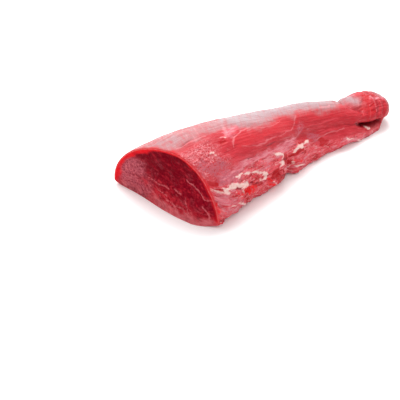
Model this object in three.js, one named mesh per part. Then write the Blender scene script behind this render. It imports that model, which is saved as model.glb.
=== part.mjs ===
// A beef tenderloin roast: one long tapering muscle with a cut face at its thick end and a rolled tail.
// Millimetres, +Z up. x runs from the cut to the tail, y to the far side, and z up from the table.
import * as THREE from 'three';

// Main sizes
const LENGTH = 285;
const CUT_SLANT = THREE.MathUtils.degToRad(18);
const CUT_LEAN = THREE.MathUtils.degToRad(4);
const SLANT_REACH = 110;

// Sections along the roast: place, sideways place of the crown, its distance from the near and
// from the far flank, and the height
const SECTIONS = [
  { x: 0, crown: -14, near: 44.5, far: 72.5, high: 63 },
  { x: 25, crown: -12, near: 41, far: 69, high: 67 },
  { x: 60, crown: -8, near: 37.5, far: 61, high: 65 },
  { x: 100, crown: -3, near: 35, far: 50, high: 57 },
  { x: 140, crown: 2, near: 29.5, far: 40, high: 49 },
  { x: 175, crown: 6, near: 26.5, far: 33, high: 42.5 },
  { x: 205, crown: 8, near: 28.5, far: 28, high: 37 },
  { x: 230, crown: 9, near: 29, far: 24, high: 31.5 },
  { x: 255, crown: 10, near: 26.5, far: 21, high: 29.5 },
  { x: LENGTH, crown: 10, near: 21, far: 20, high: 28 },
];

// Height of the middle line as a share of the section's: lower at the cut, higher in the rolled tail
const MIDDLE = { share: 0.17, drop: 0.08, dropReach: 70, rise: 0.38, riseFrom: 225, riseTo: 268 };

// How square the arches are: 2 is an ellipse, less is more pointed, more is boxier
const NEAR_ARCH = 2.05;
const FAR_ARCH = { atCut: 1.76, atTail: 2.5, from: 50, to: 130 };
const FOOT = { sideways: 7, upright: 2, depth: 1.08, flapDepth: 1, flapFrom: 205, flapTo: 240 };

// Soft meat bulges forward at the foot of the cut: how far, how high up and how far back,
// and the sideways stretches over which the bulge starts and ends
const CUT_BULGE = { out: 9, high: 30, back: 40, startFrom: -57, startTo: -38, endFrom: -25, endTo: 45 };

// The rolled tail, and the flap of meat that ends aslant below it
const ROLL = { from: 264, roundness: 3, depth: 0.73 };
const FLAP_END = { x: 258.5, y: -20, slope: 0.6, softness: 4.5 };

// Folds on the surface. A point is [along from the cut, down the near side from the crown].
const SEAM = { points: [[-6, 48], [36, 41], [74, 36], [109, 32], [136, 29], [172, 26], [222, 30]],
  depth: 0.6, deepening: 1.2, deepensFrom: 10, deepensTo: 110, endsFrom: 214, endsTo: 222, halfWidth: 3.5 };
const SLIT = { points: [[216, 31], [228, 31], [240, 33], [252, 35], [262, 36]],
  depth: 13, opensFrom: 216, opensTo: 242, endsFrom: 254, endsTo: 262, halfWidth: 3.6 };
const NECK = { points: [[233, -24], [226, -4], [228, 8], [236, 18]], depth: 3, halfWidth: 4 };
const CURLS = [
  { points: [[268, -24], [268, 0], [265, 10], [261, 20], [253, 28]], depth: 1.6, halfWidth: 2.6 },
  { points: [[275, -20], [274, 4], [270, 17], [261, 29]], depth: 1.2, halfWidth: 2.4 },
];

// The trimmed strip of meat below the seam. Its top edge comes down from top + drop at the cut,
// and its lumps shift by a radian for every shift millimetres down.
const STRIP = { swell: 1.6, lump: 0.7, lumpLength: 31, shift: 9, startsBy: 30, endsFrom: 225, endsTo: 250,
  top: 34, drop: 14, dropReach: 110, bottom: 76, edge: 8 };

// Bites out of the lower edge of the near side. They go deepest at the middle angle, in degrees.
const EDGE_NOTCHES = [
  { x: 6, width: 5, depth: 1 },
  { x: 43, width: 7, depth: 1.2 },
  { x: 122, width: 6.5, depth: 6.5 },
  { x: 160, width: 9, depth: 1 },
  { x: 232, width: 6, depth: 2 },
];
const NOTCH_ANGLES = { middle: -20, full: 25, none: 60 };

// Shallow hollows and swellings all over: waves along the roast that also run round it
const WAVES = [
  { length: 17, turns: 2, start: 0, height: 0.405 },
  { length: 29, turns: -3, start: 1, height: 0.405 },
  { length: 8.5, turns: 5, start: 2, height: 0.27 },
];

// The cut face lies a little behind the rim of the outer layer
const RIM = { from: 1, to: 4.6, depth: 1.3 };
const FACE_HOLLOW = 1.6;

// Mesh fineness
const ROWS = 70;
const COLUMNS = 78;
const FACE_RINGS = [0.975, 0.93, 0.8, 0.6, 0.35];
const TAIL_SHARE = { rows: 0.76, length: 0.85 };
const TYPICAL_X = 100;
const OUTLINE_STEPS = 4000;
const BASE_SPACING = 0.4;
const SIDE = { from: -15, to: 45, spacing: 2.2 };

const { clamp, lerp, smoothstep, radToDeg } = THREE.MathUtils;

// Smooth curve through the values that the sections give for one size
function sizeAt(key, x) {
  const last = SECTIONS.length - 1;
  const at = clamp(x, 0, LENGTH);
  const i = Math.min(SECTIONS.findLastIndex((s) => s.x <= at), last - 1);
  const slope = (a, b) => (SECTIONS[b][key] - SECTIONS[a][key]) / (SECTIONS[b].x - SECTIONS[a].x);
  const tangent = (k) => {
    if (k === 0) return slope(0, 1);
    if (k === last) return slope(last - 1, last);
    const before = SECTIONS[k].x - SECTIONS[k - 1].x;
    const after = SECTIONS[k + 1].x - SECTIONS[k].x;
    return (slope(k - 1, k) * after + slope(k, k + 1) * before) / (before + after);
  };
  const span = SECTIONS[i + 1].x - SECTIONS[i].x;
  const t = (at - SECTIONS[i].x) / span;
  const fromStart = (2 * t ** 3 - 3 * t ** 2 + 1) * SECTIONS[i][key];
  const fromEnd = (3 * t ** 2 - 2 * t ** 3) * SECTIONS[i + 1][key];
  const turnStart = (t ** 3 - 2 * t ** 2 + t) * span * tangent(i);
  const turnEnd = (t ** 3 - t ** 2) * span * tangent(i + 1);
  return fromStart + fromEnd + turnStart + turnEnd;
}

// Point of the middle line that the sections are drawn round
function middleAt(x) {
  const drop = MIDDLE.drop * (1 - smoothstep(x, 0, MIDDLE.dropReach));
  const rise = MIDDLE.rise * smoothstep(x, MIDDLE.riseFrom, MIDDLE.riseTo);
  return { y: sizeAt('crown', x), z: sizeAt('high', x) * (MIDDLE.share - drop + rise) };
}

// 0 where the roast has a foot, and 1 beyond the slanting end of the flap, where it is rolled under
function rolledUnder(x, y) {
  const end = FLAP_END.x + FLAP_END.slope * (y - FLAP_END.y);
  return smoothstep(x, end - FLAP_END.softness, end + FLAP_END.softness);
}

// Outline of one section as an offset from the middle line: two different arches above, and a foot
// with small round corners below, or half an ellipse where the tail is rolled under.
// Angle 0 faces the near side and 90 degrees is the crown.
function outlineOffset(x, angle) {
  const c = Math.cos(angle);
  const s = Math.sin(angle);
  const centre = middleAt(x);
  const farArch = lerp(FAR_ARCH.atCut, FAR_ARCH.atTail, smoothstep(x, FAR_ARCH.from, FAR_ARCH.to));
  const arch = c > 0 ? NEAR_ARCH : farArch;
  const sideways = s > 0 ? arch : FOOT.sideways;
  const upright = s > 0 ? arch : FOOT.upright;
  const reach = c > 0 ? sizeAt('near', x) : sizeAt('far', x);
  const footDepth = FOOT.depth + FOOT.flapDepth * smoothstep(x, FOOT.flapFrom, FOOT.flapTo);
  const rise = s > 0 ? sizeAt('high', x) - centre.z : centre.z * footDepth;
  const y = -reach * Math.sign(c) * Math.abs(c) ** (2 / sideways);
  const z = rise * Math.sign(s) * Math.abs(s) ** (2 / upright);
  const under = s < 0 ? rolledUnder(x, centre.y + y) : 0;
  return { y: lerp(y, -reach * c, under), z: lerp(z, ROLL.depth * centre.z * s, under) };
}

// Angles of the columns, even along the outline of a typical section, sparse under the base
// and close on the side that carries the seam
function columnAngles() {
  const lengths = [0];
  const angles = [-Math.PI / 2];
  const centre = middleAt(TYPICAL_X);
  let before = outlineOffset(TYPICAL_X, angles[0]);
  for (let i = 1; i <= OUTLINE_STEPS; i += 1) {
    const angle = -Math.PI / 2 + (2 * Math.PI * i) / OUTLINE_STEPS;
    const here = outlineOffset(TYPICAL_X, angle);
    const onBase = centre.z + here.z <= 0;
    const onSide = radToDeg(angle) > SIDE.from && radToDeg(angle) < SIDE.to;
    const weight = onBase ? BASE_SPACING : onSide ? SIDE.spacing : 1;
    lengths.push(lengths[i - 1] + weight * Math.hypot(here.y - before.y, here.z - before.z));
    angles.push(angle);
    before = here;
  }
  const columns = [];
  let i = 0;
  for (let j = 0; j < COLUMNS; j += 1) {
    const wanted = (lengths[OUTLINE_STEPS] * j) / COLUMNS;
    while (lengths[i + 1] < wanted) i += 1;
    columns.push(angles[i]);
  }
  return columns;
}

// Places of the rows along the roast, close together where the tail rounds off
function rowPlaces() {
  const places = [];
  for (let i = 0; i < ROWS; i += 1) {
    const t = i / ROWS;
    const round = clamp((t - TAIL_SHARE.rows) / (1 - TAIL_SHARE.rows), 0, 1);
    const body = (t / TAIL_SHARE.rows) * TAIL_SHARE.length;
    const tail = 1 - (1 - TAIL_SHARE.length) * (1 - Math.sin((round * Math.PI) / 2));
    places.push(LENGTH * (round > 0 ? tail : body));
  }
  return places;
}

// Shortest distance from a surface point to a fold
function distanceToFold(points, along, down) {
  let best = Infinity;
  for (let i = 0; i + 1 < points.length; i += 1) {
    const [ax, ay] = points[i];
    const [bx, by] = points[i + 1];
    const length2 = (bx - ax) ** 2 + (by - ay) ** 2;
    const t = clamp(((along - ax) * (bx - ax) + (down - ay) * (by - ay)) / length2, 0, 1);
    best = Math.min(best, Math.hypot(along - ax - t * (bx - ax), down - ay - t * (by - ay)));
  }
  return best;
}

// A groove with a rounded floor, one millimetre deep, along a fold
function groove(fold, along, down) {
  return Math.exp(-((distanceToFold(fold.points, along, down) / fold.halfWidth) ** 2));
}

// The seam deepens away from the cut and ends where the slit starts
function seamDepth(along, down) {
  const depth = SEAM.depth + SEAM.deepening * smoothstep(along, SEAM.deepensFrom, SEAM.deepensTo);
  return depth * groove(SEAM, along, down) * (1 - smoothstep(along, SEAM.endsFrom, SEAM.endsTo));
}

// The slit starts as a crease and gets deeper towards the end of the flap
function slitDepth(along, down) {
  const open = smoothstep(along, SLIT.opensFrom, SLIT.opensTo);
  const end = 1 - smoothstep(along, SLIT.endsFrom, SLIT.endsTo);
  return SLIT.depth * open * end * groove(SLIT, along, down);
}

// Height of the strip below the seam, in long soft lumps
function stripSwell(along, down) {
  const top = STRIP.top + STRIP.drop * (1 - smoothstep(along, 0, STRIP.dropReach));
  const below = smoothstep(down, top, top + STRIP.edge);
  const above = 1 - smoothstep(down, STRIP.bottom - STRIP.edge, STRIP.bottom);
  const wave = Math.sin((2 * Math.PI * along) / STRIP.lumpLength + down / STRIP.shift);
  const ends = smoothstep(along, 0, STRIP.startsBy) * (1 - smoothstep(along, STRIP.endsFrom, STRIP.endsTo));
  return below * above * ends * (STRIP.swell + STRIP.lump * wave);
}

function edgeBite(along, angle) {
  const away = Math.abs(radToDeg(angle) - NOTCH_ANGLES.middle);
  const low = 1 - smoothstep(away, NOTCH_ANGLES.full, NOTCH_ANGLES.none);
  let bite = 0;
  for (const notch of EDGE_NOTCHES) bite += notch.depth * Math.exp(-(((along - notch.x) / notch.width) ** 2));
  return low * bite;
}

function unevenness(along, angle) {
  let height = 0;
  for (const { length, turns, start, height: most } of WAVES) {
    height += most * Math.sin(along / length + turns * angle + start);
  }
  return height;
}

// All the relief at a surface point, in millimetres outwards
function reliefAt(along, angle, down) {
  let relief = unevenness(along, angle) - edgeBite(along, angle) - NECK.depth * groove(NECK, along, down);
  for (const curl of CURLS) relief -= curl.depth * groove(curl, along, down);
  const onNearSide = angle < Math.PI / 2;
  if (onNearSide) relief += stripSwell(along, down) - slitDepth(along, down) - seamDepth(along, down);
  return relief;
}

// How much a section has closed in at the round end of the tail
function closingAt(x) {
  const t = clamp((x - ROLL.from) / (LENGTH - ROLL.from), 0, 1);
  return Math.sqrt(1 - t ** ROLL.roundness);
}

// The cut runs aslant and bulges at its foot, and both die out along the roast
function slanted(x, y, z) {
  const fade = 1 - smoothstep(x, 0, SLANT_REACH);
  const start = smoothstep(y, CUT_BULGE.startFrom, CUT_BULGE.startTo);
  const end = 1 - smoothstep(y, CUT_BULGE.endFrom, CUT_BULGE.endTo);
  const low = 1 - smoothstep(z, 0, CUT_BULGE.high);
  const bulge = CUT_BULGE.out * low * start * end * (1 - smoothstep(x, 0, CUT_BULGE.back));
  return new THREE.Vector3(x - fade * (Math.tan(CUT_SLANT) * y + Math.tan(CUT_LEAN) * z) - bulge, y, z);
}

// One row of surface points round the roast
function rowPoints(x, columns) {
  const centre = middleAt(x);
  const offsets = columns.map((angle) => outlineOffset(x, angle));
  const walked = [0];
  for (let j = 1; j < offsets.length; j += 1) {
    const step = Math.hypot(offsets[j].y - offsets[j - 1].y, offsets[j].z - offsets[j - 1].z);
    walked.push(walked[j - 1] + step);
  }
  const crown = columns.findIndex((angle) => angle >= Math.PI / 2);
  return offsets.map((p, j) => {
    const down = walked[crown] - walked[j];
    const relief = reliefAt(x, columns[j], down) / Math.hypot(p.y, p.z);
    const scale = closingAt(x) * (1 + relief);
    return slanted(x, centre.y + p.y * scale, Math.max(centre.z + p.z * scale, 0));
  });
}

// The cut face as rings that shrink towards the middle of the cut, hollowed behind the rim
function facePoints(edge) {
  const centre = middleAt(0);
  const hollow = (share) => FACE_HOLLOW * (1 - share ** 2);
  const rings = FACE_RINGS.map((share) => edge.map((p) => {
    const inside = Math.hypot(p.y - centre.y, p.z - centre.z) * (1 - share);
    const point = slanted(0, lerp(centre.y, p.y, share), lerp(centre.z, p.z, share));
    point.x += RIM.depth * smoothstep(inside, RIM.from, RIM.to) + hollow(share);
    return point;
  }));
  const middle = slanted(0, centre.y, centre.z);
  middle.x += RIM.depth + hollow(0);
  return { rings, middle };
}

// Joins rows of equal length into a closed skin, with a point at each end
function closedSkin(startPoint, rows, endPoint) {
  const count = rows[0].length;
  const vertices = [startPoint, ...rows.flat(), endPoint];
  const at = (i, j) => 1 + i * count + (j % count);
  const index = [];
  for (let j = 0; j < count; j += 1) index.push(0, at(0, j), at(0, j + 1));
  for (let i = 0; i + 1 < rows.length; i += 1) {
    for (let j = 0; j < count; j += 1) {
      index.push(at(i, j), at(i + 1, j + 1), at(i, j + 1));
      index.push(at(i, j), at(i + 1, j), at(i + 1, j + 1));
    }
  }
  const last = vertices.length - 1;
  for (let j = 0; j < count; j += 1) index.push(last, at(rows.length - 1, j + 1), at(rows.length - 1, j));
  const geometry = new THREE.BufferGeometry().setFromPoints(vertices);
  geometry.setIndex(index);
  return geometry;
}

// Moves the part so that its origin is under the middle of its bounding box
function centreOnTable(geometry) {
  geometry.computeBoundingBox();
  const { min, max } = geometry.boundingBox;
  geometry.translate(-(min.x + max.x) / 2, -(min.y + max.y) / 2, -min.z);
  geometry.computeVertexNormals();
  return geometry;
}

function tenderloinGeometry() {
  const columns = columnAngles();
  const rows = rowPlaces().map((x) => rowPoints(x, columns));
  const face = facePoints(rows[0]);
  const tip = middleAt(LENGTH);
  const skin = [...face.rings.reverse(), ...rows];
  return centreOnTable(closedSkin(face.middle, skin, slanted(LENGTH, tip.y, tip.z)));
}

const rawBeef = new THREE.MeshStandardMaterial({ color: 0xb8434b, roughness: 0.42, metalness: 0 });

const tenderloin = new THREE.Mesh(tenderloinGeometry(), rawBeef);
tenderloin.name = 'tenderloin';

const roast = new THREE.Group();
roast.add(tenderloin);

export default roast;
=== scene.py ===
import itertools
import math

import bpy
import numpy as np
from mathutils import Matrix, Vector


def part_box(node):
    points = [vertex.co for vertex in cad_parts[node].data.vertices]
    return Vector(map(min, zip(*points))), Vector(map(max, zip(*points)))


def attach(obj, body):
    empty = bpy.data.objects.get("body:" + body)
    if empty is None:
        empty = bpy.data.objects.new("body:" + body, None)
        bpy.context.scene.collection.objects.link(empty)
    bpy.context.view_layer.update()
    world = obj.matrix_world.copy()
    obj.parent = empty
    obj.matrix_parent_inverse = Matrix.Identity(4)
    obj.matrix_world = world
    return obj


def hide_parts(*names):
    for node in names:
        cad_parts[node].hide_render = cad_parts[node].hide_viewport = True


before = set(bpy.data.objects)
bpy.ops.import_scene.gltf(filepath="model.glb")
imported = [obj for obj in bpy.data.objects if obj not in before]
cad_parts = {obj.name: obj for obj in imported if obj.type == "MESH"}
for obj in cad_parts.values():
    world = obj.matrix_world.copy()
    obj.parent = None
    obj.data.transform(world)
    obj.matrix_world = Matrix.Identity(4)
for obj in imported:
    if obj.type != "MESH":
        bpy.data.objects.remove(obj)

bl_info = {
    "name": "Beef tenderloin roast",
    "version": (1, 0, 0),
    "blender": (4, 5, 0),
    "location": "View3D > Sidebar > Roast",
    "description": "Models a raw beef tenderloin with its cut face, fat and silvery skin, and a plain stage",
    "category": "Add Mesh",
}

NODE = "tenderloin"
BODY = "root"
MM = 0.001

# Main sizes in millimetres. x runs from the cut to the rolled tail, y to the far side, z up.
LENGTH = 285.0
CUT_SLANT = math.tan(math.radians(18))
CUT_LEAN = math.tan(math.radians(4))
SLANT_REACH = 110.0

# Soft meat bulges forward at the foot of the cut: how far, how high up, how far back, and the
# sideways stretches over which it starts and ends
FOOT_BULGE = 9.0
FOOT_BULGE_HIGH = 30.0
FOOT_BULGE_BACK = 40.0
FOOT_BULGE_START = (-57.0, -38.0)
FOOT_BULGE_END = (-25.0, 45.0)

# Sections along the roast: place, sideways place of the crown, its distance from the near
# and from the far flank, and the height
PLACE = [0, 25, 60, 100, 140, 175, 205, 230, 255, LENGTH]
CROWN = [-14, -12, -8, -3, 2, 6, 8, 9, 10, 10]
NEAR = [44.5, 41, 37.5, 35, 29.5, 26.5, 28.5, 29, 26.5, 21]
FAR = [72.5, 69, 61, 50, 40, 33, 28, 24, 21, 20]
HIGH = [63, 67, 65, 57, 49, 42.5, 37, 31.5, 29.5, 28]

# Height of the middle line as a share of the section's: lower at the cut, higher in the rolled tail
MIDDLE_HEIGHT = 0.17
MIDDLE_DROP = 0.08
MIDDLE_DROP_REACH = 70
MIDDLE_RISE = 0.38
MIDDLE_RISES = (225, 268)

# How square the arches are: 2 is an ellipse, less is more pointed, more is boxier
NEAR_ARCH = 2.05
FAR_ARCH_AT_CUT = 1.76
FAR_ARCH_AT_TAIL = 2.5
FAR_ARCH_CHANGE = (50.0, 130.0)
FOOT_SIDEWAYS = 7.0
FOOT_UPRIGHT = 2.0
FOOT_DEPTH = 1.08
FLAP_FOOT_DEPTH = 1.0
FLAP_FOOT_DEEPENS = (205.0, 240.0)

# The rolled tail, and the flap of meat that ends aslant below it, through the place (along, sideways)
ROLL_FROM = 264.0
ROLL_ROUNDNESS = 3.0
ROLL_DEPTH = 0.73
FLAP_END = (258.5, -20.0)
FLAP_SLOPE = 0.6
FLAP_SOFTNESS = 4.5

# Folds on the surface. A point is (along from the cut, down the near side from the crown).
SEAM = [(-6, 48), (36, 41), (74, 36), (109, 32), (136, 29), (172, 26), (222, 30)]
SEAM_DEPTH = 0.6
SEAM_DEEPENING = 1.2
SEAM_DEEPENS = (10, 110)
SEAM_ENDS = (214, 222)
SEAM_HALF_WIDTH = 3.5
SLIT = [(216, 31), (228, 31), (240, 33), (252, 35), (262, 36)]
SLIT_DEPTH = 13
SLIT_OPENS = (216, 242)
SLIT_ENDS = (254, 262)
SLIT_HALF_WIDTH = 3.6

# The slit stays open along its floor. Its walls are filled up by this share, away from the floor line.
SLIT_FLOOR = [(222, 30.5), (233, 33.5), (240, 36), (252, 38.5), (258, 38)]
SLIT_FILL = 0.7
SLIT_FILL_FROM = (1.4, 3.8)
# Half width of the painted shade along the slit's floor
SLIT_SHADE_HALF_WIDTH = 2.1

# The neck and the curls of the rolled tail: (path, depth, half width, strength of the painted shade in the
# crease, its half width)
CREASES = [
    ([(233, -24), (226, -4), (228, 8), (236, 18)], 3.0, 4.0, 0.25, 1.4),
    ([(268, -24), (268, 0), (265, 10), (261, 20), (253, 28)], 1.6, 2.6, 0.4, 1.2),
    ([(275, -20), (274, 4), (270, 17), (261, 29)], 1.2, 2.4, 0.3, 1.0),
]

# The strip of meat below the seam. Its top edge comes down from the top and the drop together at the
# cut, and its lumps shift by a radian for every shift millimetres down.
STRIP_SWELL = 1.6
STRIP_LUMP = 0.7
STRIP_LUMP_LENGTH = 31
STRIP_SHIFT = 9
STRIP_STARTS = (0, 30)
STRIP_ENDS = (225, 250)
STRIP_TOP = 34
STRIP_DROP = 14
STRIP_DROP_REACH = 110
STRIP_BOTTOM = 76
STRIP_EDGE = 8

# Waves all over: (length, turns, start, height)
WAVES = [(17, 2, 0, 0.405), (29, -3, 1, 0.405), (8.5, 5, 2, 0.27)]

# Bites out of the lower edge of the near side: (along, width, depth)
EDGE_NOTCHES = [(6, 5, 1), (43, 7, 1.2), (122, 6.5, 6.5), (160, 9, 1), (232, 6, 2)]
NOTCH_ANGLE = -20
NOTCH_REACH = (25, 60)

# Lower edge of the silvery skin along the top: (along, down). The skin starts aslant, and ends at the
# neck. A painted sheen in the skin's colour lies on the neck and along the tail's outer edge: (strength, half
# width, path)
SILVER_EDGE = [(60, 2), (75, 4), (90, 8), (102, 8), (112, 4), (125, 2), (140, 3), (160, 2), (172, 3),
               (185, 5), (195, 7), (203, 6), (212, 1), (222, -4), (230, -7), (245, -14)]
SILVER_START = (62, 5)
SILVER_START_LEAN = 0.37
SILVER_ENDS = (230, 240)
SHEEN = [(1.0, 8, [(233, -22), (240, -12), (240, 2)]), (0.8, 3, [(277, -24), (278, 24)])]

# How far round the far side the skin thins out and painted shade darkens the meat, and the slope of the
# streaks that cross it
FAR_SIDE = (30, 62)
SKIN_SLOPE = -1.5

# Where the knob of the rolled tail starts, and the deeper red above the seam
KNOB_STARTS = (226, 238)
DARK_BAND = [(60, 32), (100, 30), (150, 26), (205, 24), (226, 24)]
DARK_HALF_WIDTH = 5

# The strip's fibres dip steeply behind the cut, level out over the reach and rise towards the tail
FLOW_DIP = 24
FLOW_REACH = 15
FLOW_RISE = 0.16

# The smooth lens of muscle that lies open below the silvery skin
LENS = [(50, 24), (56, 17), (66, 12), (80, 9), (100, 8), (115, 3), (140, 1), (175, 3), (200, 12), (215, 13),
        (222, 22), (200, 20), (160, 17), (140, 17), (120, 20), (100, 22), (78, 25), (60, 27)]

# Cream fat: (half width, lift, path)
FAT = [
    (0.6, 0.6, [(1, 46), (6, 50), (12, 54), (20, 59)]),
    (1.8, 1.0, [(15, 52.5), (24, 54), (32, 55), (40, 58)]),
    (2.8, 1.1, [(36, 57), (44, 59), (49, 60)]),
    (0.2, 0.2, [(46, 11), (51, 12.5)]),
    (0.4, 0.3, [(92, 65), (96, 70), (100, 75)]),
    (0.5, 0.3, [(124, 61), (127, 54), (128, 48)]),
    (1.2, 0.7, [(46, 61), (43, 65)]),
    (1.0, 0.7, [(36, 48.5), (44, 48.5), (56, 49.5), (66, 51.5), (76, 53.5)]),
    (2.0, 0.9, [(76, 54), (81, 55), (84, 57.5), (81, 60)]),
    (0.9, 0.6, [(81, 60), (76, 61), (71, 60)]),
    (1.2, 0.7, [(100, 39), (105, 41), (108, 43)]),
    (1.4, 0.7, [(102, 50), (107, 49.5)]),
    (0.6, 0.4, [(108, 44), (105, 49)]),
    (1.9, 1.0, [(129, 40.5), (134, 38.5), (140, 37.5)]),
    (1.1, 0.8, [(140, 37), (151, 35)]),
    (0.5, 0.4, [(119, 50), (118, 60)]),
    (0.6, 0.4, [(131, 57), (138, 55), (147, 58)]),
    (0.5, 0.3, [(23, 20), (28, 20.5)]),
    (0.4, 0.3, [(24, 24), (27, 25)]),
    (0.6, 1.8, [(234.5, 36), (239, 38)]),
    (0.9, 0.4, [(222, 47.5), (230, 48.5)]),
    (0.4, 0.3, [(204, 41.5), (214, 43.5)]),
    (0.6, 0.4, [(20, 71), (26, 75)]),
    (0.7, 0.4, [(33, 72), (45, 80)]),
    (0.8, 0.6, [(62, -90), (78, -86), (92, -82)]),
    (0.4, 0.4, [(97, -80), (103, -72), (112, -68)]),
    (0.5, 0.4, [(150, -60), (163, -56), (174, -55)]),
    (0.3, 0.3, [(24, -99), (38, -96)]),
]

# Thin pale lines where films end: (half width, path)
PALE_LINES = [
    (0.7, [(51, 24), (54, 18), (62, 13.5), (72, 10.5), (84, 9.5)]),
    (1.4, [(46, 11), (52, 12), (57, 6), (63, -1)]),
    (0.4, [(60, 24), (70, 27), (80, 28), (92, 26), (104, 25), (118, 23.5), (132, 21), (142, 15), (149, 7)]),
    (0.2, [(112, 28), (128, 27), (138, 28), (145, 22), (150, 12)]),
    (0.3, [(78, 12), (96, 12), (110, 13), (125, 10)]),
    (0.5, [(5, 0), (20, 2), (36, 2)]),
    (0.4, [(20, 45), (40, 42), (66, 41)]),
    (0.4, [(84, 44), (100, 39), (112, 36)]),
    (0.4, [(156, 38), (180, 33), (204, 32)]),
    (0.3, [(271, -24), (271, 2), (268, 12), (264, 22)]),
    (0.4, [(266, -2), (259, 14), (255, 24)]),
    (0.9, [(106, 53), (114, 58), (121, 65), (126, 72)]),
    (0.7, [(206, 43), (216, 45.5), (224, 46)]),
    (1.2, [(188, 4), (197, 5), (203, 3)]),
    (0.5, [(120, -44), (150, -40), (185, -36)]),
    (0.4, [(40, -70), (75, -62), (105, -58)]),
]

# Pale mauve film over the seam and the strip: (half width, path)
FILM = [
    (4.0, [(20, 44), (45, 42), (70, 40)]),
    (3.5, [(70, 40), (95, 37), (118, 35), (132, 31)]),
    (6.0, [(6, 58), (24, 70)]),
    (3.0, [(14, 76), (40, 80)]),
    (3.5, [(57, 9), (66, 4), (76, 2)]),
    (4.0, [(18, 47), (30, 48)]),
    (3.0, [(205, 44), (228, 47)]),
    (3.0, [(258, 2), (272, 10)]),
    (5.0, [(70, -70), (110, -62), (160, -50)]),
]

# Greyish purple film over dark meat: (half width, path)
PURPLE = [
    (6.0, [(8, 28), (20, 32), (27, 36)]),
    (3.0, [(15, 44), (40, 46)]),
    (4.0, [(30, 50), (38, 50)]),
    (4.0, [(157, 29), (168, 35)]),
    (2.0, [(140, 24), (150, 19)]),
    (5.0, [(240, -6), (256, -20)]),
    (6.0, [(10, -80), (30, -72)]),
]

# Deep red meat that lies bare: (half width, path)
BARE = [
    (6.0, [(95, 60), (113, 65)]),
    (4.6, [(113, 46.5), (124, 52)]),
    (1.8, [(42, 16), (46, 16)]),
    (6.5, [(245, 20), (252, 7)]),
    (3.5, [(252, 7), (258, 0)]),
    (2.0, [(2, 41), (9, 44)]),
    (2.5, [(170, 39), (178, 40)]),
    (2.0, [(60, 62), (74, 63)]),
    (3.0, [(124, 45), (140, 42)]),
    (4.0, [(60, -96), (84, -92)]),
]

# Wet patches of the brightest red: (half width, path)
WET = [
    (3.2, [(48, 64), (60, 66)]),
    (2.0, [(50, 70), (62, 70)]),
    (4.2, [(87, 64), (92, 71)]),
    (2.5, [(96, 72), (101, 77)]),
    (1.2, [(30, 63), (40, 66)]),
    (1.0, [(128, 50), (138, 52)]),
    (1.2, [(1, 58), (2, 70)]),
]

# Thin lines of painted shade in folds: (half width, path)
FOLDS = [
    (0.4, [(62, 37), (72, 36.5), (82, 35)]),
    (0.3, [(90, 29), (104, 28), (118, 30)]),
    (0.9, [(30, 58), (38, 61)]),
    (0.8, [(47, 57), (58, 59)]),
    (0.5, [(60, 61), (70, 62)]),
    (0.3, [(206, 28.5), (224, 29.5)]),
    (0.4, [(10, 0.5), (25, 0)]),
    (0.6, [(0, 78), (14, 82)]),
    (0.8, [(100, 60), (112, 63), (118, 68)]),
    (0.8, [(110, 46), (117, 48)]),
]

# Veins of the cut face: (half width, path), and a point is (sideways, up)
CUT_VEINS = [
    (0.8, [(-26, 38), (-29, 36), (-33, 34), (-38, 31), (-41, 27), (-44, 25)]),
    (0.5, [(-44, 25), (-49, 27), (-55, 29)]),
    (0.7, [(-43, 18), (-47, 15), (-49, 10), (-50, 3)]),
    (0.5, [(18, 22), (10, 21.5), (6, 20), (0, 21), (-6, 20.5)]),
    (0.6, [(-11, 23), (-15, 22), (-19, 20)]),
    (0.6, [(16, 7), (12, 9)]),
    (0.5, [(-5, 8), (-13, 9), (-22, 8)]),
    (0.4, [(-24, 18), (-27, 11), (-31, 6)]),
    (0.4, [(44, 20), (42, 26), (40, 30)]),
    (0.4, [(8, 13), (0, 15), (-6, 13)]),
]

# The cut face is sunk behind its rim, over this distance from it, and hollowed towards its middle
FACE_SUNK = 1.5
FACE_SINKS = (0.8, 4.2)
FACE_HOLLOW = 1.8

# Random fields: (cell in millimetres, seed, octaves). The first two bend the edges of the finishes.
FIELDS = {
    "bend_along": ((9, 6, 1), 11, 3),
    "bend_down": ((9, 6, 1), 17, 3),
    "streaks": ((34, 2.6, 1), 23, 2),
    "fibres": ((26, 2.2, 1), 31, 2),
    "grains": ((2.6, 2.2, 1), 41, 2),
    "lumps": ((11, 7, 1), 43, 3),
    "face_lumps": (9, 51, 3),
    "face_grains": (3, 57, 2),
    "face_bend_side": (8, 61, 3),
    "face_bend_up": (8, 67, 3),
    "flakes": ((16, 4.5, 1), 71, 3),
    "small_flakes": ((4, 1.8, 1), 73, 2),
    "fat": ((3, 2, 1), 79, 2),
    "ragged": ((6, 3, 1), 83, 2),
}

# Mesh fineness. Columns are sparse under the base, and on the far side beyond these angles.
ROWS = 296
COLUMNS = 280
RINGS = 56
BASE_DENSITY = 0.15
FAR_DENSITY = 0.6
FAR_COLUMNS = (2.1, 2.6)
TAIL_ROWS = 0.84
TAIL_LENGTH = 0.9
TYPICAL_PLACE = 100.0
OUTLINE_STEPS = 8001
RING_SPACING = (0.35, 0.65)

# Lattice of the random fields, and the factor and shift that spread a noise over 0 to 1
LATTICE = 32
NOISE_SPREAD = (2.4, -0.7)

# Light in the meat: its reach in metres, and shares of that for red, green and blue
LIGHT_REACH = 0.0015
LIGHT_SHARES = (1.0, 0.35, 0.3)
MEAT_IOR = 1.4
WATER_IOR = 1.33
WET_ROUGHNESS = 0.2
CUT_SHINE = 0.1

# What the settings of a share have in common
SHARE = {"subtype": "FACTOR", "min": 0.0, "max": 1.0}

# The stage in metres: half the floor, and the soft light above
FLOOR_HALF = 6.0
FLOOR_ROUGHNESS = 0.9
LIGHT_PLACE = (0.15, 0.55, 0.9)
LIGHT_AIM = (0.0, 0.0, 0.02)
LIGHT_SIZE = 0.9
SENSOR_WIDTH = 36.0


# Smooth fields

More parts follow.
